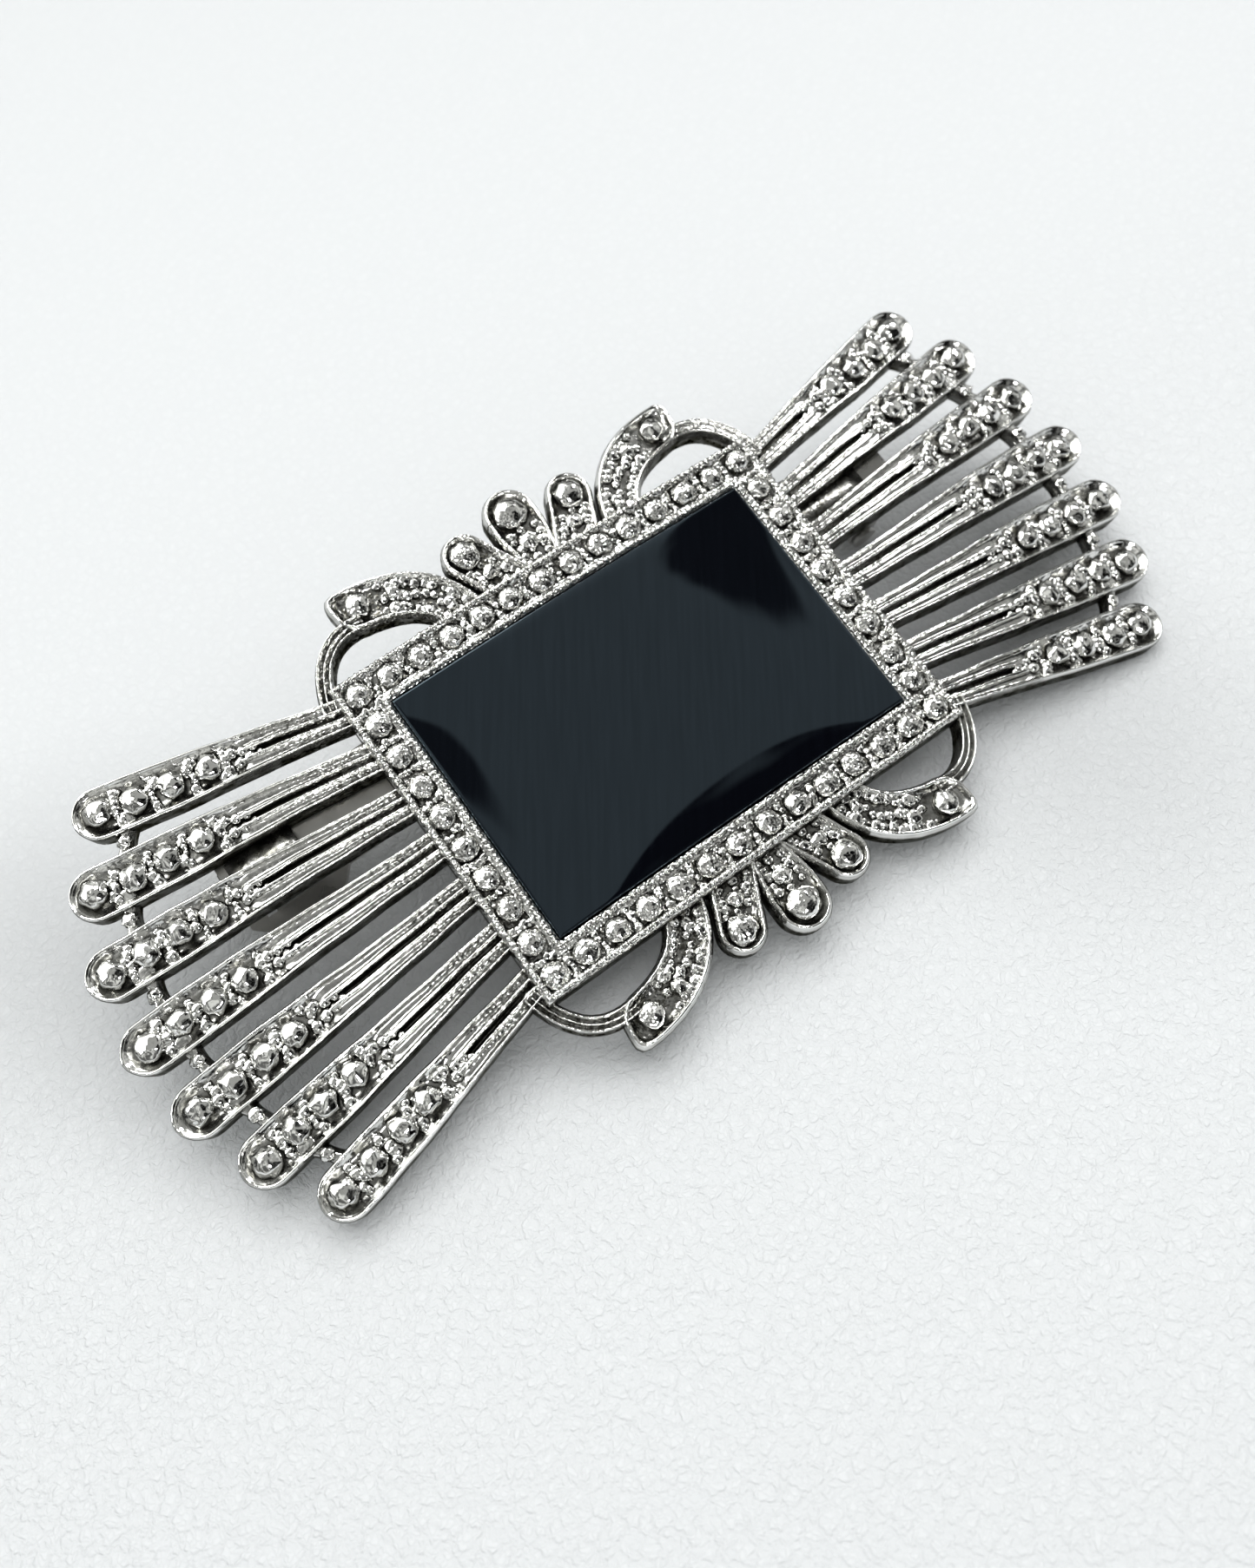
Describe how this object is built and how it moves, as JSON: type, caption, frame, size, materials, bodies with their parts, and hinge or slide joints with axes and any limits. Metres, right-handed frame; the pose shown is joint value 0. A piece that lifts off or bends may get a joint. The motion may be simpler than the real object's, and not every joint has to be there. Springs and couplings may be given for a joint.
{
  "type": "barrette",
  "caption": "Hair barrette: an openwork cast silver-tone ornament with a black inlaid panel and beaded fans, on a French clip with a squeeze catch.",
  "frame": {"origin": "middle of the ornament's back, on the flat stub inside the hollow of the frame", "axes": "+X along the length towards the clip's hinge, +Y across the width towards the side the clip sits on, +Z out of the decorated face"},
  "size_m": [0.1006, 0.046, 0.016],
  "materials": {
    "casting": "bright silver plate on cast white metal, darkened in the recesses",
    "panel": "polished black",
    "solder": "dull soft solder",
    "clip_steel": "nickel-plated pressed steel",
    "spring_steel": "nickel-plated spring steel"
  },
  "bodies": {
    "ornament": {"ornament_casting": "casting", "black_panel": "panel", "solder_catch_end": "solder", "solder_hinge_end": "solder", "clip_base": "clip_steel", "hinge_pin": "clip_steel", "spring_rivet": "clip_steel", "catch_plate": "spring_steel", "catch_rivet": "clip_steel"},
    "arm": {"clip_arm": "clip_steel"},
    "spring": {"tension_spring": "spring_steel"},
    "tab_back": {"catch_tab_back": "spring_steel"},
    "tab_front": {"catch_tab_front": "spring_steel"}
  },
  "joints": [
    {"name": "arm_hinge", "type": "hinge", "parent": "ornament", "child": "arm", "pos_m": [0.03059, 0.0082, -0.00971], "axis": [0, -1, 0], "range_deg": [0, 95]},
    {"name": "spring_flex", "type": "hinge", "parent": "ornament", "child": "spring", "pos_m": [0.02486, 0.0082, -0.00231], "axis": [0, 1, 0], "range_deg": [0, 1.2], "stiffness_Nm_per_rad": 0.02},
    {"name": "catch_squeeze_back", "type": "hinge", "parent": "ornament", "child": "tab_back", "pos_m": [-0.03275, 0.0101, -0.00345], "axis": [-0.994, 0, -0.1098], "range_deg": [0, 8], "stiffness_Nm_per_rad": 0.01},
    {"name": "catch_squeeze_front", "type": "hinge", "parent": "ornament", "child": "tab_front", "pos_m": [-0.03275, 0.0063, -0.00345], "axis": [0.994, 0, 0.1098], "range_deg": [0, 8], "stiffness_Nm_per_rad": 0.01}
  ],
  "couplings": [
    {"joint": "catch_squeeze_front", "follows": "catch_squeeze_back", "ratio": 1}
  ]
}
